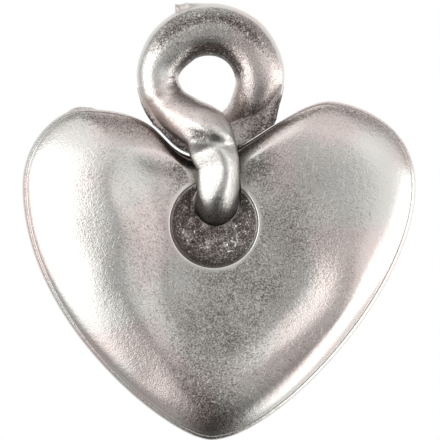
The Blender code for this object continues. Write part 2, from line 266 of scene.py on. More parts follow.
def heart_outline(count):
    """The heart seen from the front, clockwise from the cleft, as six Bezier spans in equal steps."""
    spans = []
    for lobe, widest, handles, side in (
        (RIGHT_LOBE, RIGHT_WIDEST, RIGHT_HANDLES, 1),
        (LEFT_LOBE, LEFT_WIDEST, LEFT_HANDLES, -1),
    ):
        across = np.array((side, 0.0))
        up = np.array((0.0, 1.0))
        ends = (
            (CLEFT, CLEFT + across * handles[0], lobe - across * handles[1], lobe),
            (lobe, lobe + across * handles[2], widest + up * handles[3], widest),
            (widest, widest - up * handles[4], TIP + across * handles[5], TIP),
        )
        spans.append(np.vstack([bezier_span(span, 120) for span in ends]))
    right, left = spans
    points = np.vstack((right, TIP, left[:0:-1]))
    return even_steps(points, count) + HINGE[[0, 2]]


def mesh_object(name, spots, faces):
    """An object of this name in the scene, from corners and from faces that list them."""
    mesh = bpy.data.meshes.new(name)
    mesh.from_pydata(spots, [], faces)
    piece = bpy.data.objects.new(name, mesh)
    bpy.context.scene.collection.objects.link(piece)
    return piece


def grid_object(name, points, poles=None):
    """A closed shell from a grid of points, round in its first direction. Without poles it is round in
    its second direction too; with them, each end row's ring closes on one point."""
    around, along = points.shape[:2]
    corner = np.arange(around * along).reshape(around, along)
    after = np.roll(corner, -1, axis=0)
    if poles is None:
        beyond = np.roll(corner, -1, axis=1)
        quads = np.stack((corner, beyond, np.roll(after, -1, axis=1), after), axis=-1).reshape(-1, 4)
        spots = points.reshape(-1, 3)
        triangles = np.empty((0, 3), int)
    else:
        quads = np.stack((corner[:, :-1], corner[:, 1:], after[:, 1:], after[:, :-1]), axis=-1).reshape(-1, 4)
        spots = np.vstack((points.reshape(-1, 3), poles))
        first, last = len(spots) - 2, len(spots) - 1
        start = np.stack((np.full(around, first), corner[:, 0], after[:, 0]), axis=-1)
        end = np.stack((np.full(around, last), after[:, -1], corner[:, -1]), axis=-1)
        triangles = np.vstack((start, end))
    return mesh_object(name, spots, quads.tolist() + triangles.tolist())


def combine(piece, operation, tool):
    """Cut this piece with the tool, or join the tool to it, and take the tool away."""
    modifier = piece.modifiers.new(operation, "BOOLEAN")
    modifier.operation = operation
    modifier.solver = "MANIFOLD"
    modifier.object = tool
    graph = bpy.context.evaluated_depsgraph_get()
    solid = bpy.data.meshes.new_from_object(piece.evaluated_get(graph))
    piece.modifiers.clear()
    old = piece.data
    piece.data = solid
    solid.name = piece.name
    bpy.data.meshes.remove(old)
    bpy.data.objects.remove(tool, do_unlink=True)


def vertex_places(piece):
    """The piece's vertices as rows of x, y, z."""
    places = np.empty(len(piece.data.vertices) * 3)
    piece.data.vertices.foreach_get("co", places)
    return places.reshape(-1, 3)


def set_attribute(piece, name, values):
    """Keep one number at each vertex, for the material to read."""
    attribute = piece.data.attributes.new(name, "FLOAT", "POINT")
    attribute.data.foreach_set("value", np.clip(values, 0, 1).astype(np.float32))


def near(places, row):
    """A bell that is 1 at a point of the front view and falls to 0 round it. The row gives the point's
    right and up, and the bell's reach each way, in mm."""
    right, up, reach_right, reach_up = np.array(row) * MM
    return bell((places[..., 0] - right) / reach_right) * bell((places[..., -1] - up) / reach_up)


def patches(places, rows):
    """The sum of several bells, at most 1. Each row gives a bell's share, then what near asks for."""
    return np.clip(sum(row[0] * near(places, row[1:]) for row in rows), 0, 1)


# The heart's shape, its ageing, and its painted shade and highlight


def heart_section(span, crown_share, middle_share, fullness, roll_share, crown, middle, lip, sizes):
    """One ray's section: distance in from the rim, and half thickness, for each ring.

    The rim is a quarter ellipse with a fine groove inside it. From there the face rises to the crown:
    one share of the rise goes as 1 - e^(-distance / roll width), and the rest as 1 - (1 - w)^fullness,
    where w is the share of the way to the crown. It falls along 3w^2 - 2w^3 to the dished middle, and
    runs straight to the bowl's lip, which rolls over a small radius. The bowl's wall rises from its flat
    floor by a power of the share of the way out.
    """
    column = np.ones((len(span), 1))
    rays_first = (span, crown_share, middle_share, fullness, roll_share, crown, middle, lip)
    span, crown_share, middle_share, fullness, roll_share, crown, middle, lip = (
        value[:, None] for value in rays_first
    )
    turn = np.radians(np.linspace(0, 74, 9))
    edge_in = column * sizes.rim_width * (1 - np.cos(turn))
    edge_half = column * sizes.rim_half * np.sin(turn)
    rim_in = edge_in[:, -1:]
    rim_top = edge_half[:, -1:]
    groove_in = rim_in + column * sizes.groove_width * np.array((0.35, 0.65, 1.0))
    groove_half = rim_top + column * sizes.groove_depth * np.array((-0.8, -1.0, 0.2))
    start = groove_in[:, -1:]
    low = groove_half[:, -1:]
    roll = sizes.lip_radius
    way = np.linspace(0, 1, 81)[1:][None, :]
    way = way * 0.7 + 0.3 * smooth(way)
    risen = 1 - (1 - np.clip(way / crown_share, 0, 1)) ** fullness
    rolls = (span - roll - start) / sizes.roll_width
    rolled = (1 - np.exp(-way * rolls)) / (1 - np.exp(-crown_share * rolls))
    outer = low + (crown - low) * (risen + (rolled - risen) * roll_share)
    inner = crown - (crown - middle) * smooth((way - crown_share) / (middle_share - crown_share))
    dish = (lip - middle) * np.clip((way - middle_share) / (1.001 - middle_share), 0, 1)
    face_half = np.where(way < crown_share, outer, inner + dish)
    face_in = start + (span - roll - start) * way
    over = np.radians(np.linspace(0, 82, 8))[1:]
    lip_in = span - roll + column * roll * np.sin(over)
    lip_half = lip - column * roll * (1 - np.cos(over))
    share = np.linspace(0.985, 0.03, 26)
    wall_in = span + sizes.bowl_radius * column * (1 - share)
    flat = sizes.bowl_flat**sizes.bowl_wall
    rise = np.clip((share**sizes.bowl_wall - flat) / (1 - flat), 0, 1)
    wall_half = sizes.bowl_floor + (lip_half[:, -1:] - sizes.bowl_floor) * rise
    inward = np.hstack((edge_in, groove_in, face_in, lip_in, wall_in))
    half = np.hstack((edge_half, groove_half, face_half, lip_half, wall_half))
    return inward, half


def make_heart(sizes, link):
    """The heart's casting: sections along rays from the rim to the bowl, front and back."""
    rim = heart_outline(RIM_STEPS)
    reach = rim - BOWL
    length = np.linalg.norm(reach, axis=1)
    angle = np.arctan2(reach[:, 0], reach[:, 1])
    span = length - sizes.bowl_radius
    stations = np.array(RELIEF, float)
    columns = [round_the_bowl(stations[:, 0], column, angle, RELIEF_BLUR) for column in stations[:, 1:].T]
    thick = [column * MM * sizes.relief for column in columns[4:]]
    inward, half = heart_section(span, *columns[:4], *thick, sizes)
    out = reach / length[:, None]
    flat = rim[:, None, :] - out[:, None, :] * inward[:, :, None]
    uneven = waves(flat, 4.2 * MM, seed=3) * sizes.unevenness * smooth((inward - 0.5 * MM) / (1.5 * MM))
    in_bowl = smooth((inward - span[:, None] - 0.3 * MM) / (0.8 * MM))
    lumps = waves(flat, 0.9 * MM, seed=8) * sizes.floor_lumps * in_bowl
    lumps += near(flat, MOUND[:4]) * MOUND[4] * MM * in_bowl
    right, low_end, reach_right, run_out, height = np.array(RIDGE) * MM
    ridge = bell((flat[..., 0] - right) / reach_right) * smooth((flat[..., 1] - low_end) / run_out)
    half = half + uneven * (1 - in_bowl) + lumps + ridge * height * in_bowl
    half[:, 0] = 0
    front = np.stack((flat[..., 0], -half, flat[..., 1]), axis=-1)
    back = np.stack((flat[..., 0], half, flat[..., 1]), axis=-1)
    points = np.concatenate((back[:, ::-1], front[:, 1:]), axis=1)
    add_gate_stub(points, sizes)
    middle = np.array(((BOWL[0], sizes.bowl_floor, BOWL[1]), (BOWL[0], -sizes.bowl_floor, BOWL[1])))
    heart = grid_object("heart_casting", points, middle)
    combine(heart, "DIFFERENCE", loop_passage(link))
    sharpen(heart, 50)
    return heart


def add_gate_stub(points, sizes):
    """Raise the rough end of a casting gate on top of the left lobe: a low block with soft sides."""
    foot = HINGE[[0, 2]] + LEFT_LOBE
    along = (points[..., 0] - foot[0]) / (sizes.lobe_stub_length / 2)
    across = points[..., 1] / (sizes.lobe_stub_width / 2)
    block = smooth((1.15 - np.abs(along)) / 0.35) * smooth((1.2 - np.abs(across)) / 0.6)
    block *= points[..., 2] > foot[1] - 1.5 * MM
    rough = 1 + 0.18 * waves(points, 0.7 * MM, seed=5)
    points[..., 2] += block * rough * sizes.lobe_stub_height


def loop_passage(link):
    """The ring-shaped way that the bail's loop runs in: a torus round the hinge, wider by the gap."""
    way_r = link.loop_wire + link.link_gap
    loop_r = link.bridge_radius + way_r
    round_loop, round_wire = np.meshgrid(
        np.linspace(0, 2 * math.pi, 128, endpoint=False),
        np.linspace(0, 2 * math.pi, 64, endpoint=False),
        indexing="ij",
    )
    up = np.array((0.0, 0.0, 1.0))
    out = np.cos(round_loop)[..., None] * AHEAD + np.sin(round_loop)[..., None] * up
    points = HINGE + out * (loop_r + way_r * np.cos(round_wire))[..., None]
    points = points + ACROSS * (way_r * np.sin(round_wire))[..., None]
    return grid_object("passage", points)


def sharpen(piece, degrees):
    """Shade smooth, but keep an edge crisp where its faces meet at more than this angle."""
    piece.data.polygons.foreach_set("use_smooth", np.ones(len(piece.data.polygons), bool))
    piece.data.set_sharp_from_angle(angle=math.radians(degrees))


def bowl_and_rim_distance(places):
    """How far each place lies out from the bowl's middle, and in from the rim along the same ray."""
    rim = heart_outline(RIM_STEPS) - BOWL
    round_rim = np.arctan2(rim[:, 0], rim[:, 1]) % (2 * math.pi)
    order = np.argsort(round_rim)
    right, up = (places[:, ::2] - BOWL).T
    reach = np.interp(
        np.arctan2(right, up), round_rim[order], np.hypot(*rim[order].T), period=2 * math.pi
    )
    from_bowl = np.hypot(right, up)
    return from_bowl, reach - from_bowl


def age_shade_and_highlight_heart(heart, sizes):
    """Where patina stays and painted shade darkens the heart, and where handling has burnished it
    or painted highlight lightens it, at each vertex.

    Patina is deep in the bowl and beside the bridge, and lighter over the dished middle. Beside the
    bridge it is also painted shade under the bail; the darkening at the tip and on the slopes that face
    up is painted shade. The rim's strip is rubbed nearly bare but not polished. The bowl's lip is
    burnished, and the slopes near the rim are burnished and lightened as painted highlight, apart from
    those that face up and the tip.
    """
    places = vertex_places(heart)
    from_bowl, inward = bowl_and_rim_distance(places)
    in_bowl = smooth((sizes.bowl_radius - 0.02 * MM - from_bowl) / (0.25 * MM))
    # Painted shade at the tip
    tip = patches(places, TIP_SHADE)
    patina_and_shade = 0.08 + 0.5 * patches(places, DISH_PATINA) + 0.6 * patches(places, BRIDGE_PATINA_AND_SHADE) + 0.6 * tip
    wall = smooth((from_bowl - 0.62 * sizes.bowl_radius) / (0.25 * sizes.bowl_radius))
    floor = 0.97 + 0.25 * wall + 0.16 * waves(places[:, ::2], 1.1 * MM, seed=31)
    patina_and_shade = np.where(in_bowl > 0, patina_and_shade * (1 - in_bowl) + floor * in_bowl, patina_and_shade)
    lip = bell((from_bowl - sizes.bowl_radius - 0.10 * MM) / (0.13 * MM))
    lip *= places[:, 2] < HINGE[2] + 0.3 * MM
    normals = np.empty(len(places) * 3)
    heart.data.vertices.foreach_get("normal", normals)
    upward = normals[2::3]
    tilt = np.hypot(normals[0::3], upward)
    # Painted shade: slopes that face up are darkened, where the light from above is dim
    patina_and_shade += 0.5 * smooth((upward - 0.45) / 0.25) * smooth((0.92 - upward) / 0.10) * (1 - in_bowl)
    strip = smooth((0.45 * MM - inward) / (0.12 * MM))
    patina_and_shade = patina_and_shade * (1 - 0.8 * strip) + 0.12 * strip
    # Painted highlight as well as burnishing: slopes near the rim that face sideways are lightened
    slopes = smooth((tilt - 0.18) / 0.30) * smooth((4.6 * MM - inward) / (2.0 * MM))
    slopes *= (1 - in_bowl) * (1 - tip) * smooth((0.45 - upward) / 0.30)
    set_attribute(heart, "patina_and_shade", patina_and_shade)
    set_attribute(heart, "burnish_and_highlight", np.maximum(lip, 0.75 * slopes) * (1 - 0.6 * strip))


# The bail's shape, its ageing and its painted shade


def bail_knots(sizes, link):
    """The wire's path, once round from the loop's lowest point: middle, radius, and outward direction.

    It climbs at the back, goes round the eye anticlockwise as seen from the front, and comes down in
    front of itself.
    """
    loop_r = link.bridge_radius + link.link_gap + link.loop_wire
    back, front = (
        [(np.array(row[:3]) * MM, row[3] * MM, row[4]) for row in leg] for leg in (BACK_LEG, FRONT_LEG)
    )
    eye = []
    for degrees, wire in EYE:
        turn = math.radians(degrees)
        radial = np.array((math.cos(turn), 0, math.sin(turn)))
        eye.append((radial * (sizes.eye_radius - wire * MM), wire * MM, radial))
    lowest = (HINGE - (0, 0, loop_r), link.loop_wire, (0, 0, -1))
    behind = (HINGE - AHEAD * loop_r, sizes.waist_wire, -AHEAD)
    before = (HINGE + AHEAD * loop_r, sizes.waist_wire, AHEAD)
    return [lowest, behind, *back, *eye, *front, before], loop_r


def bail_path(sizes, link):
    """The wire's middle line in equal steps: places, headings, radii and outward directions.

    Between knots the line is a cubic Bezier span whose handles run from neighbour to neighbour, a third
    of the way long, and on the loop they are a circle's. Radius and outward direction ease over as
    3t^2 - 2t^3.
    """
    knots, loop_r = bail_knots(sizes, link)
    middle = np.array([knot[0] for knot in knots])
    wire = np.array([knot[1] for knot in knots])
    outward = np.array([knot[2] for knot in knots], float)
    heading = unit(np.roll(middle, -1, axis=0) - np.roll(middle, 1, axis=0))
    heading[0] = -AHEAD
    heading[1] = (0, 0, 1)
    heading[-1] = (0, 0, -1)
    reach = np.linalg.norm(np.roll(middle, -1, axis=0) - middle, axis=1)
    after = reach * 0.35
    before = np.roll(reach, 1) * 0.35
    arc = loop_r * math.tan(math.pi / 8) * 4 / 3
    after[[0, -1]] = arc
    before[[0, 1]] = arc
    fine = 60
    line, radius, out = [], [], []
    for here in range(len(knots)):
        there = (here + 1) % len(knots)
        leave = middle[here] + heading[here] * after[here]
        arrive = middle[there] - heading[there] * before[there]
        line.append(bezier_span((middle[here], leave, arrive, middle[there]), fine))
        ease = smooth(np.linspace(0, 1, fine, endpoint=False))[:, None]
        radius.append(wire[here] + (wire[there] - wire[here]) * ease)
        out.append(outward[here] + (outward[there] - outward[here]) * ease)
    # The outward directions are made small, so that they add nothing to the line's length
    columns = np.hstack((np.vstack(line) / MM, np.vstack(radius) / MM, np.vstack(out) / 1000))
    path = even_steps(columns, PATH_STEPS)
    above_loop = smooth((path[:, 2] + 6.9) / 1.4)[:, None]
    path = path + (soften(path, 4.5) - path) * above_loop
    places, radius, out = path[:, :3] * MM, path[:, 3] * MM, path[:, 4:]
    ahead_way = unit(np.roll(places, -1, axis=0) - np.roll(places, 1, axis=0))
    out = unit(out - np.sum(out * ahead_way, axis=1, keepdims=True) * ahead_way)
    return places, ahead_way, radius, out


def make_bail(sizes, link):
    """The bail's casting: the wire's section carried along its path, with the web in its corner.

    A section is given by how far its tangents stand from the middle. The surface point is that distance
    along the normal, plus its slope along the tangent.
    """
    places, heading, radius, out = bail_path(sizes, link)
    side = np.cross(heading, out)
    turn = np.linspace(0, 2 * math.pi, 96, endpoint=False)
    normal = out[:, None] * np.cos(turn)[None, :, None] + side[:, None] * np.sin(turn)[None, :, None]
    tangent = -out[:, None] * np.sin(turn)[None, :, None] + side[:, None] * np.cos(turn)[None, :, None]
    stand = tangent_distance(places, heading, radius, normal)
    slope = (np.roll(stand, -1, axis=1) - np.roll(stand, 1, axis=1)) / (2 * turn[1])
    points = places[:, None] + normal * stand[..., None] + tangent * slope[..., None]
    uneven = waves(points, 2.2 * MM, seed=21) * sizes.unevenness * 0.5
    points = points + normal * uneven[..., None]
    points += normal * eye_stub(points, sizes)[..., None]
    points[..., 1] += saddle(points, sizes)
    bail = grid_object("bail_casting", points)
    combine(bail, "UNION", make_web(sizes))
    sharpen(bail, 50)
    return bail


def tangent_distance(places, heading, radius, normal):
    """How far the section's tangent stands from the middle, at each place and direction of the wire.

    It is the radius, plus for each flat face its half width times the softened sine of the angle from
    that face, less the same at the wire's two sides, so that the outline seen from the front stays.
    """
    front = np.array((0.0, -1.0, 0.0))
    across = unit(front - (heading @ front)[:, None] * heading)
    right = np.cross(across, heading)
    angle = np.arctan2(np.sum(normal * right[:, None], axis=-1), np.sum(normal * across[:, None], axis=-1))
    stand = np.repeat(radius[:, None], normal.shape[1], axis=1)
    for degrees, half, top, bottom in FLATS:
        run = smooth((top * MM - places[:, 2]) / (0.9 * MM)) * (places[:, 1] < 0.1 * MM)
        run *= smooth((places[:, 2] - bottom * MM) / (1.6 * MM))
        turned = np.radians(degrees)
        spread = np.sqrt(np.sin(angle - turned) ** 2 + 0.01) - math.sqrt(math.cos(turned) ** 2 + 0.01)
        stand = stand + half * MM * run[:, None] * spread
    return stand


def saddle(points, sizes):
    """How far the front leg's face is pressed back where it bends below the crossing, at each point.

    The press runs along a leaning line and is deepest left of its middle. Above it the leg swells.
    """
    right = points[..., 0] - SADDLE[0] * MM
    up = points[..., 2] - SADDLE[1] * MM
    along = right * math.cos(SADDLE_LEAN) + up * math.sin(SADDLE_LEAN)
    above = up * math.cos(SADDLE_LEAN) - right * math.sin(SADDLE_LEAN)
    press = bell(above / (0.42 * MM)) * smooth((2.6 * MM - np.abs(along)) / (1.6 * MM))
    press *= 1 + 0.5 * bell((along + 0.6 * MM) / (0.7 * MM))
    swell = bell((above - 0.85 * MM) / (0.60 * MM)) * smooth((2.4 * MM - np.abs(along)) / (1.6 * MM))
    facing = smooth((-points[..., 1] - 1.6 * MM) / (1.2 * MM))
    return (press * sizes.saddle_depth - swell * sizes.saddle_swell) * facing


def eye_stub(points, sizes):
    """How far the rough end of a casting gate stands out of the eye, at each point: steep on its left
    and running out low to the right."""
    turn = np.degrees(np.arctan2(points[..., 2], points[..., 0]))
    reach = np.hypot(points[..., 0], points[..., 2])
    right_end, left_end = EYE_STUB_ENDS
    block = smooth((left_end - turn) / 3.5) * smooth((turn - right_end) / 22)
    block *= smooth((1.25 - np.abs(points[..., 1]) / (sizes.eye_stub_width / 2)) / 0.6)
    block *= smooth((reach - 4.6 * MM) / (0.5 * MM))
    return block * sizes.eye_stub_height * (1 + 0.20 * waves(points, 0.55 * MM, seed=11))


def make_web(sizes):
    """The web under the crossing: a plate whose outline follows the eye's edge and the cleft.

    It is built in layers from front to back. The gap under each layer leaves room for the heart's swing:
    it closes towards the back at the left and towards the front at the right, as the hinge is a little
    turned. The two outer layers stay inside the wire's rounding.
    """
    rim = heart_outline(1200)
    step = np.roll(rim, -1, axis=0) - np.roll(rim, 1, axis=0)
    upward = unit(np.column_stack((-step[:, 1], step[:, 0])))
    foot = np.array(WEB_FOOT) * MM
    beneath = (rim[:, 1] > -7.5 * MM) & (rim[:, 0] > -4.6 * MM) & (rim[:, 0] < foot[0] - 0.12 * MM)
    beneath = np.flatnonzero(beneath)[np.argsort(rim[beneath, 0])]
    rim, upward = rim[beneath], upward[beneath]
    core, half = sizes.web_core, sizes.web_half
    layers = []
    for depth in (-half, -core, 0.0, core, half):
        edge = sizes.eye_radius - (0.20 if abs(depth) > core else 0.03) * MM
        left, right = (
            edge * np.column_stack((np.cos(turn), np.sin(turn)))
            for turn in (np.radians(np.linspace(188, 218, 12)), np.radians(np.linspace(-21, -6, 8)))
        )
        closing = depth * np.clip(-rim[:, 0] / (2 * MM), -1, 1)
        share = np.where(
            rim[:, 0] < 0,
            np.interp(closing, (0.0, core, half), (1.0, 0.94, 0.76)),
            np.interp(closing, (-core, 0.0, core, half), (1.0, 0.92, 0.55, 0.15)),
        )
        lower = rim + upward * (sizes.web_gap * share)[:, None]
        flat = np.vstack((left, lower, foot, right, np.array(WEB_INNER) * MM))
        layers.append(np.column_stack((flat[:, 0], np.full(len(flat), depth), flat[:, 1])))
    count = len(layers[0])
    corner = np.arange(count)
    beyond = np.roll(corner, -1)
    faces = [corner.tolist(), (corner[::-1] + count * (len(layers) - 1)).tolist()]
    for layer in range(len(layers) - 1):
        sides = np.column_stack((beyond, corner, corner + count, beyond + count)) + layer * count
        faces += sides.tolist()
    return mesh_object("web", np.vstack(layers), faces)


def age_and_shade_bail(bail, sizes, link):
    """Where patina stays and painted shade darkens the bail, and where handling has burnished it, at
    each vertex.

    Patina and painted shade are deep on the web, inside the eye, and where the legs cross and dip into
    the bowl. Patina is deep at the front leg's bend and lighter along the eye, and the colour darkens
    towards the top. The eye's outer edge is bare and polished.
    """
    places = vertex_places(bail)
    line, _, radius, _ = bail_path(sizes, link)
    above_wire = np.full(len(places), 1.0)
    for middle, wire in zip(line, radius):
        above_wire = np.minimum(above_wire, np.linalg.norm(places - middle, axis=1) - wire)
    # Patina and painted shade: the web, set back behind the legs, is darkened nearly fully
    web = smooth((above_wire - 0.17 * MM) / (0.12 * MM)) * smooth((-places[:, 2] - 0.8 * MM) / (0.6 * MM))
    # Patina and painted shade behind the front leg where the legs cross
    crossing = patches(places, CROSSING_PATINA_AND_SHADE) * (places[:, 1] > -1.2 * MM)
    # Patina and painted shade where the legs dip into the bowl
    dip = smooth((-places[:, 2] - 9.0 * MM) / (1.8 * MM))
    reach = np.hypot(places[:, 0], places[:, 2])
    band = bell((reach - 4.55 * MM) / (0.45 * MM)) * smooth((places[:, 2] - 1.2 * MM) / (2.5 * MM))
    # Patina and painted shade inside the eye
    inside = smooth((2.9 * MM - reach) / (0.7 * MM)) * smooth((places[:, 2] + 0.5 * MM) / (1.0 * MM))
    # Darker towards the top of the bail
    top = smooth((places[:, 2] - 0.6 * MM) / (2.2 * MM))
    patina_and_shade = 0.08 + 0.9 * web + 0.7 * dip + 0.5 * band + 0.9 * inside + 0.4 * top
    patina_and_shade += crossing + patches(places, LEG_PATINA) + patches(places, STUB_PATINA)
    edge = smooth((reach - 5.36 * MM) / (0.10 * MM)) * smooth((places[:, 2] + 1.5 * MM) / (1.0 * MM))
    set_attribute(bail, "patina_and_shade", patina_and_shade * (1 - edge))
    set_attribute(bail, "burnish_and_highlight", edge)


# The pewter's finish


def linear(colour):
    """A six-figure hex colour as linear red, green, blue and full alpha."""
    parts = [int(colour[i : i + 2], 16) / 255 for i in (1, 3, 5)]
    return [part / 12.92 if part <= 0.04045 else ((part + 0.055) / 1.055) ** 2.4 for part in parts] + [1.0]


def add_node(tree, kind, inputs=None, output=0, **settings):
    """Add a node with its settings, and fill its inputs with values or with other nodes' outputs."""
    node = tree.nodes.new(kind)
    for name, value in settings.items():
        setattr(node, name, value)
    for name, value in (inputs or {}).items():
        if isinstance(value, bpy.types.NodeSocket):
            tree.links.new(value, node.inputs[name])
        else:
            node.inputs[name].default_value = value
    return node.outputs[output]


def antiqued_pewter(name, finish):
    """Antiqued pewter: gravity-cast tin alloy, darkened in a bath and rubbed back by hand.

    The eye sees a soft grey mirror, broken by a sandy grain that holds dark brown patina, with clouds
    of warmer and cooler metal, fine hairline scratches and burnished edges. The shares it reads also
    darken it as painted shade and lighten it as painted highlight in places.
    """
    material = bpy.data.materials.new(name)
    material.use_nodes = True
    tree = material.node_tree
    shader = tree.nodes["Principled BSDF"]
    place = add_node(tree, "ShaderNodeTexCoord", output="Object")
    patina_and_shade = add_node(tree, "ShaderNodeAttribute", output="Fac", attribute_name="patina_and_shade")
    burnish_and_highlight = add_node(tree, "ShaderNodeAttribute", output="Fac", attribute_name="burnish_and_highlight")
    # The real grain is finer than a hundredth of a millimetre; it is drawn coarser, to show
    noise = "ShaderNodeTexNoise"
    grain, fleck, cloud, drift = (
        add_node(tree, noise, {"Vector": place, "Scale": 1 / size, "Detail": detail, "Roughness": rough})
        for size, detail, rough in (
            (finish.grain_size, 1.0, 0.5),
            (finish.grain_size / 0.35, 2.0, 0.6),
            (finish.cloud_size, 3.0, 0.55),
            (finish.drift_size, 1.0, 0.4),
        )
    )
    # Patina fills the grain's hollows, more of them where its share is higher. That share also carries
    # painted shade, and the burnishing share painted highlight
    maths = "ShaderNodeMath"
    darkness = grain
    for part, share in ((fleck, 0.35), (cloud, 0.30), (patina_and_shade, 0.55), (burnish_and_highlight, -0.9)):
        darkness = add_node(tree, maths, {0: part, 1: share, 2: darkness}, operation="MULTIPLY_ADD")
    # Scattered crumbs stand out of the patina and are rubbed bare
    ramp = "ShaderNodeMapRange"
    eased = {"interpolation_type": "SMOOTHSTEP"}
    crumb = add_node(tree, noise, {"Vector": place, "Scale": 1 / finish.crumb_size, "Detail": 0.0})
    crumb = add_node(tree, ramp, {"Value": crumb, "From Min": 0.70, "From Max": 0.80}, **eased)
    darkness = add_node(tree, maths, {0: crumb, 1: -0.45, 2: darkness}, operation="MULTIPLY_ADD")
    dark = add_node(tree, ramp, {"Value": darkness, "From Min": 0.80, "From Max": 1.50}, **eased)
    warm = add_node(tree, ramp, {"Value": drift, "From Min": 0.44, "From Max": 0.58}, **eased)
    blend = "ShaderNodeMix"
    cool, warmer, deep, brown = (
        linear(code) for code in (finish.cool_hex, finish.warm_hex, finish.deep_hex, finish.patina_hex)
    )
    metal = add_node(tree, blend, {0: warm, 6: cool, 7: warmer}, 2, data_type="RGBA")
    thin = add_node(tree, maths, {0: patina_and_shade, 1: -0.45, 2: fleck}, operation="MULTIPLY_ADD")
    crust = add_node(tree, blend, {0: thin, 6: deep, 7: brown}, 2, data_type="RGBA")
    colour = add_node(tree, blend, {0: dark, 6: metal, 7: crust}, 2, data_type="RGBA")
    worn = {"Value": dark, "To Min": finish.roughness, "To Max": finish.patina_roughness}
    rough = add_node(tree, ramp, worn)
    rough = add_node(tree, maths, {0: cloud, 1: 0.12, 2: rough}, operation="MULTIPLY_ADD")
    rough = add_node(tree, maths, {0: rough, 1: 0.06}, operation="SUBTRACT")
    height = add_node(tree, maths, {0: fleck, 1: 1.2, 2: grain}, operation="MULTIPLY_ADD")
    scratched = {0: hairlines(tree, place), 1: -finish.scratch_share, 2: height}
    height = add_node(tree, maths, scratched, operation="MULTIPLY_ADD")
    sandy = add_node(tree, maths, {0: burnish_and_highlight, 1: -0.8, 2: 1.0}, operation="MULTIPLY_ADD")
    grained = {"Strength": sandy, "Distance": finish.grain_depth, "Height": height}
    relief = add_node(tree, "ShaderNodeBump", grained)
    tree.links.new(colour, shader.inputs["Base Color"])
    tree.links.new(rough, shader.inputs["Roughness"])
    tree.links.new(relief, shader.inputs["Normal"])
    shader.inputs["Metallic"].default_value = 1.0
    material.diffuse_color = cool
    return material


def hairlines(tree, place):
    """Short fine scratches in three directions: noise stretched along a line, cut to thin strokes."""
    stretch = (1 / (0.9 * MM), 1 / (2 * MM), 1 / (0.07 * MM))
    deepest = 0.0
    for degrees, shift in ((24, 0.0), (-38, 13.0), (71, 27.0)):
        turn = {"Vector": place, "Angle": math.radians(degrees)}
        turned = add_node(tree, "ShaderNodeVectorRotate", turn, rotation_type="Y_AXIS")
        drawn = {"Vector": turned, "Location": (shift, 0, 0), "Scale": stretch}
        stretched = add_node(tree, "ShaderNodeMapping", drawn)
        line = add_node(tree, "ShaderNodeTexNoise", {"Vector": stretched, "Scale": 1.0, "Detail": 0.0})
        cut = {"Value": line, "From Min": 0.72, "From Max": 0.80}
        thin = add_node(tree, "ShaderNodeMapRange", cut, interpolation_type="SMOOTHSTEP")
        deepest = add_node(tree, "ShaderNodeMath", {0: thin, 1: deepest}, operation="MAXIMUM")
    return deepest


# Settings that the panel shows


def length(name, description, default):
    """A property that holds a length."""
    return FloatProperty(
        name=name, description=description, default=default, unit="LENGTH", subtype="DISTANCE", precision=5
    )


def number(name, description, default, subtype="NONE"):
    """A property that holds a plain number."""
    return FloatProperty(name=name, description=description, default=default, subtype=subtype)


def swatch(name, description, default):
    """A property that holds a colour as six hex figures."""
    return StringProperty(name=name, description=description, default=default)


class LinkSizes(bpy.types.PropertyGroup):
    """Sizes of the link between the bail's loop and the heart's bridge."""

    bridge_radius: length("Bridge radius", "Thinnest radius of the bridge that the loop holds", 0.85 * MM)
    loop_wire: length("Loop wire radius", "Radius of the wire at the loop's lowest point", 1.66 * MM)
    link_gap: length("Link gap", "Running gap between the loop and the bridge", 0.15 * MM)


class HeartSizes(bpy.types.PropertyGroup):
    """Sizes of the heart."""

    rim_half: length("Rim half thickness", "Half the heart's thickness at its rim", 0.80 * MM)
    rim_width: length("Rim width", "How far in the rounded rim reaches", 0.36 * MM)
    roll_width: length("Roll width", "How far in the face's quick roll beside the rim fades", 0.35 * MM)
    groove_width: length("Groove width", "Width of the fine groove inside the rim", 0.10 * MM)
    groove_depth: length("Groove depth", "Depth of the fine groove inside the rim", 0.020 * MM)
    lip_radius: length("Lip radius", "Rounding of the bowl's lip", 0.16 * MM)
    bowl_radius: length("Bowl radius", "Radius of the bowl at its lip", 3.35 * MM)
    bowl_floor: length("Bowl floor", "Half thickness at the bowl's floor", 1.10 * MM)
    bowl_wall: number("Bowl wall", "Power of the bowl's wall; higher is steeper", 4.0)
    bowl_flat: number("Bowl flat", "Share of the way out where the flat floor ends", 0.40)
    relief: number("Relief", "Share of the heights that the relief's stations give", 1.0, "FACTOR")
    unevenness: length("Unevenness", "Height of the casting's gentle waves", 0.018 * MM)
    floor_lumps: length("Floor lumps", "Height of the lumps on the bowl's floor", 0.05 * MM)
    lobe_stub_length: length("Gate stub length", "Length of the gate's stub on the left lobe", 2.00 * MM)
    lobe_stub_width: length("Gate stub width", "Width of that stub from front to back", 0.90 * MM)
    lobe_stub_height: length("Gate stub height", "Height of that stub", 0.13 * MM)


class BailSizes(bpy.types.PropertyGroup):
    """Sizes of the bail."""

    eye_radius: length("Eye radius", "Outer radius of the eye", 5.70 * MM)
    waist_wire: length("Waist wire radius", "Radius of the wire beside the bridge", 1.58 * MM)
    web_half: length("Web half thickness", "Half the web's thickness", 0.80 * MM)
    web_core: length("Web core", "Half the thickness over which the web reaches the eye's edge", 0.45 * MM)
    web_gap: length("Web gap", "Gap between the web and the heart's top edge", 0.22 * MM)
    saddle_depth: length("Saddle depth", "How far the leg is pressed back at its bend", 0.26 * MM)
    saddle_swell: length("Saddle swell", "How far the leg stands out above that", 0.10 * MM)
    eye_stub_width: length("Gate stub width", "Width of the eye's gate stub from front to back", 1.24 * MM)
    eye_stub_height: length("Gate stub height", "Height of that stub", 0.36 * MM)
    unevenness: length("Unevenness", "Height of the casting's gentle waves", 0.020 * MM)


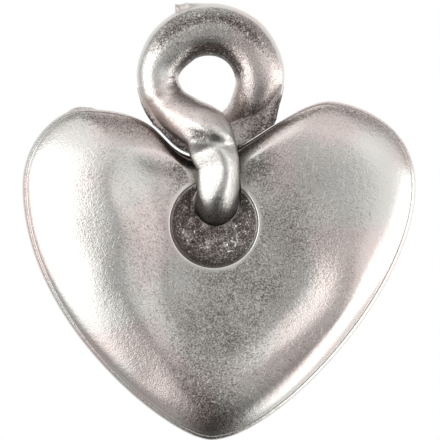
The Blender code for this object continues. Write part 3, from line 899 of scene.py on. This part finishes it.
class PewterFinish(bpy.types.PropertyGroup):
    """Colours and grain of the antiqued pewter."""

    cool_hex: swatch("Cool metal", "Colour of the bare metal, cooler", "#BDBBB7")
    warm_hex: swatch("Warm metal", "Colour of the bare metal, warmer", "#C1B6B2")
    patina_hex: swatch("Patina", "Colour of the dark patina", "#786D67")
    deep_hex: swatch("Deep patina", "Colour of the patina's darkest flecks", "#433B38")
    roughness: number("Roughness", "Roughness of the rubbed metal", 0.32, "FACTOR")
    patina_roughness: number("Patina roughness", "Roughness of the patina", 0.52, "FACTOR")
    grain_size: length("Grain size", "Size of the grain as it is drawn", 0.11 * MM)
    crumb_size: length("Crumb size", "Size of the bare crumbs that stand out of the patina", 0.22 * MM)
    cloud_size: length("Cloud size", "Size of the clouds of lighter and darker metal", 3.4 * MM)
    drift_size: length("Drift size", "Size of the drifts of warmer and cooler metal", 7.5 * MM)
    grain_depth: length("Grain depth", "Height from the grain's hollows to its tops", 0.02 * MM)
    scratch_share: number("Scratches", "Depth of a scratch as a share of the grain's", 0.25)


class StageSettings(bpy.types.PropertyGroup):
    """Camera, lamps and floor."""

    distance: length("Camera distance", "From the camera to the pendant", 0.60)
    view_width: length("View width", "Width of the picture at the pendant", 33.67 * MM)
    view_centre: FloatVectorProperty(
        name="View centre",
        description="Where the camera looks, right and up from the eye",
        default=(0.727 * MM, -10.90 * MM),
        size=2,
        unit="LENGTH",
    )
    radiance: number("Softboxes", "Radiance of the two softboxes", 2.3)
    drop: length("Floor drop", "Gap between the heart's tip and the floor", 0.17)
    floor_radius: length("Floor radius", "Radius of the round floor", 0.12)


# The pieces, the stage and the panel


class PENDANT_OT_heart(bpy.types.Operator):
    """Build the heart's casting in place of its solid"""

    bl_idname = "pendant.heart"
    bl_label = "Heart"

    def execute(self, context):
        sizes = context.scene.heart_sizes
        heart = make_heart(sizes, context.scene.link_sizes)
        age_shade_and_highlight_heart(heart, sizes)
        heart.data.materials.clear()
        heart.data.materials.append(antiqued_pewter("heart_pewter_antiqued", context.scene.heart_finish))
        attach(heart, "heart")
        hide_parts("heart")
        return {"FINISHED"}


class PENDANT_OT_bail(bpy.types.Operator):
    """Build the bail's casting in place of its solid"""

    bl_idname = "pendant.bail"
    bl_label = "Bail"

    def execute(self, context):
        sizes = context.scene.bail_sizes
        link = context.scene.link_sizes
        bail = make_bail(sizes, link)
        age_and_shade_bail(bail, sizes, link)
        bail.data.materials.clear()
        bail.data.materials.append(antiqued_pewter("bail_pewter_antiqued", context.scene.bail_finish))
        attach(bail, "bail")
        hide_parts("bail")
        return {"FINISHED"}


class PENDANT_OT_stage(bpy.types.Operator):
    """Set up the camera, the softboxes, the pale floor and the surroundings"""

    bl_idname = "pendant.stage"
    bl_label = "Stage"

    def execute(self, context):
        stage = context.scene.stage_settings
        scene = context.scene
        scene.view_settings.view_transform = "Standard"
        make_camera(scene, stage)
        make_floor(stage)
        make_world(scene)
        for name, place, size in SOFTBOXES:
            make_softbox(name, place, size, stage.radiance)
        make_dark_card()
        return {"FINISHED"}


def make_camera(scene, stage):
    """A long lens, square on to the front, that takes in the view's width at the pendant."""
    data = bpy.data.cameras.new("camera")
    data.sensor_width = 36
    data.lens = 36 * stage.distance / stage.view_width
    data.clip_start = 0.01
    data.clip_end = 10
    camera = bpy.data.objects.new("camera", data)
    camera.location = (stage.view_centre[0], -stage.distance, stage.view_centre[1])
    camera.rotation_euler = (math.radians(90), 0, 0)
    scene.collection.objects.link(camera)
    scene.camera = camera


def make_softbox(name, place, size, radiance):
    """A rectangular lamp that faces the pendant. Its power is pi times area times radiance."""
    data = bpy.data.lights.new(name, "AREA")
    data.shape = "RECTANGLE"
    data.size, data.size_y = size
    data.energy = radiance * math.pi * size[0] * size[1]
    lamp = bpy.data.objects.new(name, data)
    toward = np.array((0.0, 0.0, -0.012)) - np.array(place)
    lift = math.asin(toward[2] / np.linalg.norm(toward))
    lamp.location = place
    lamp.rotation_euler = (math.pi / 2 + lift, 0, math.atan2(-toward[0], toward[1]))
    lamp.visible_camera = False
    bpy.context.scene.collection.objects.link(lamp)


def make_dark_card():
    """A dark card below the lens, for the metal to mirror. The camera looks past it."""
    spots = [(x, y, -0.12) for x, y in ((-0.05, -0.14), (0.05, -0.14), (0.05, 0.10), (-0.05, 0.10))]
    card = mesh_object("dark card", spots, [(0, 1, 2, 3)])
    card.visible_camera = False
    card.visible_shadow = False
    card.visible_diffuse = False
    card.data.materials.append(matt_card("black_card", "#2A2A2A"))


def matt_card(name, colour):
    """Plain card: a matt surface of one colour, with hardly any sheen."""
    material = bpy.data.materials.new(name)
    material.use_nodes = True
    shader = material.node_tree.nodes["Principled BSDF"]
    shader.inputs["Base Color"].default_value = linear(colour)
    shader.inputs["Roughness"].default_value = 0.9
    shader.inputs["Specular IOR Level"].default_value = 0.1
    return material


def make_floor(stage):
    """A round pale floor below the tip. It takes the pendant's shadow, and fades to the white
    surroundings towards its edge."""
    around, rings = 96, 12
    turn = np.linspace(0, 2 * math.pi, around, endpoint=False)
    reach = np.linspace(stage.floor_radius, 0.003, rings)
    height = np.full((around, rings), CAD_BOX[0].z - stage.drop)
    points = np.stack((np.cos(turn)[:, None] * reach, np.sin(turn)[:, None] * reach, height), axis=-1)
    corner = np.arange(around * rings).reshape(around, rings)
    after = np.roll(corner, -1, axis=0)
    quads = np.stack((corner[:, :-1], after[:, :-1], after[:, 1:], corner[:, 1:]), axis=-1).reshape(-1, 4)
    faces = quads.tolist() + [corner[:, -1].tolist()]
    floor = mesh_object("floor", points.reshape(-1, 3), faces)
    floor.data.materials.append(pale_board())


def pale_board():
    """Pale card: a matt board, which camera and metal see fade to the white surroundings far out."""
    material = matt_card("pale_card", "#F1F0EE")
    tree = material.node_tree
    output = tree.nodes["Material Output"]
    card = tree.nodes["Principled BSDF"]
    place = add_node(tree, "ShaderNodeTexCoord", output="Object")
    far = add_node(tree, "ShaderNodeVectorMath", {0: place}, "Value", operation="LENGTH")
    fading = {"Value": far, "From Min": 0.04, "From Max": 0.10}
    fade = add_node(tree, "ShaderNodeMapRange", fading, interpolation_type="SMOOTHSTEP")
    direct = 0.0
    for ray in ("Is Camera Ray", "Is Glossy Ray", "Is Transmission Ray"):
        kind = add_node(tree, "ShaderNodeLightPath", output=ray)
        direct = add_node(tree, "ShaderNodeMath", {0: kind, 1: direct}, operation="MAXIMUM")
    share = add_node(tree, "ShaderNodeMath", {0: fade, 1: direct}, operation="MULTIPLY")
    glow = add_node(tree, "ShaderNodeEmission", {"Color": (1, 1, 1, 1), "Strength": 1.0})
    mixed = add_node(tree, "ShaderNodeMixShader", {0: share, 1: card.outputs[0], 2: glow})
    tree.links.new(mixed, output.inputs["Surface"])
    return material


def make_world(scene):
    """A pale studio: white behind the pendant and dimmer in front of it and below, and plain white
    straight to the camera."""
    world = bpy.data.worlds.new("studio")
    scene.world = world
    world.use_nodes = True
    tree = world.node_tree
    tree.nodes.clear()
    heading = add_node(tree, "ShaderNodeTexCoord", output="Generated")
    level = STUDIO_LEVEL
    for axis, low, high, amount in STUDIO_LIGHTS:
        both = {0: heading, 1: axis}
        toward = add_node(tree, "ShaderNodeVectorMath", both, "Value", operation="DOT_PRODUCT")
        spread = {"Value": toward, "From Min": low, "From Max": high}
        part = add_node(tree, "ShaderNodeMapRange", spread, interpolation_type="SMOOTHSTEP")
        level = add_node(tree, "ShaderNodeMath", {0: part, 1: amount, 2: level}, operation="MULTIPLY_ADD")
    seen = add_node(tree, "ShaderNodeLightPath", output="Is Camera Ray")
    level = add_node(tree, "ShaderNodeMix", {0: seen, 2: level, 3: 1.0}, data_type="FLOAT")
    studio = add_node(tree, "ShaderNodeBackground", {"Color": (1, 1, 1, 1), "Strength": level})
    surface = tree.nodes.new("ShaderNodeOutputWorld")
    tree.links.new(studio, surface.inputs["Surface"])


class PENDANT_PT_panel(bpy.types.Panel):
    """Buttons and sizes of the pendant"""

    bl_idname = "PENDANT_PT_panel"
    bl_label = "Pendant"
    bl_space_type = "VIEW_3D"
    bl_region_type = "UI"
    bl_category = "Pendant"

    def draw(self, context):
        layout = self.layout
        for operator in ("pendant.heart", "pendant.bail", "pendant.stage"):
            layout.operator(operator)
        for group in SETTINGS:
            settings = getattr(context.scene, group)
            box = layout.box()
            box.label(text=settings.__doc__)
            for name in settings.__annotations__:
                box.prop(settings, name)


SETTINGS = {
    "heart_sizes": HeartSizes,
    "bail_sizes": BailSizes,
    "link_sizes": LinkSizes,
    "heart_finish": PewterFinish,
    "bail_finish": PewterFinish,
    "stage_settings": StageSettings,
}
CLASSES = (
    LinkSizes,
    HeartSizes,
    BailSizes,
    PewterFinish,
    StageSettings,
    PENDANT_OT_heart,
    PENDANT_OT_bail,
    PENDANT_OT_stage,
    PENDANT_PT_panel,
)


def register():
    """Add the classes and hang their settings on the scene."""
    for kind in CLASSES:
        bpy.utils.register_class(kind)
    for name, kind in SETTINGS.items():
        setattr(bpy.types.Scene, name, PointerProperty(type=kind))


def unregister():
    """Take the classes and their settings away."""
    for name in SETTINGS:
        delattr(bpy.types.Scene, name)
    for kind in reversed(CLASSES):
        bpy.utils.unregister_class(kind)


def main():
    """Build every piece and the stage."""
    register()
    bpy.ops.pendant.heart()
    bpy.ops.pendant.bail()
    bpy.ops.pendant.stage()


if __name__ == "__main__":
    main()
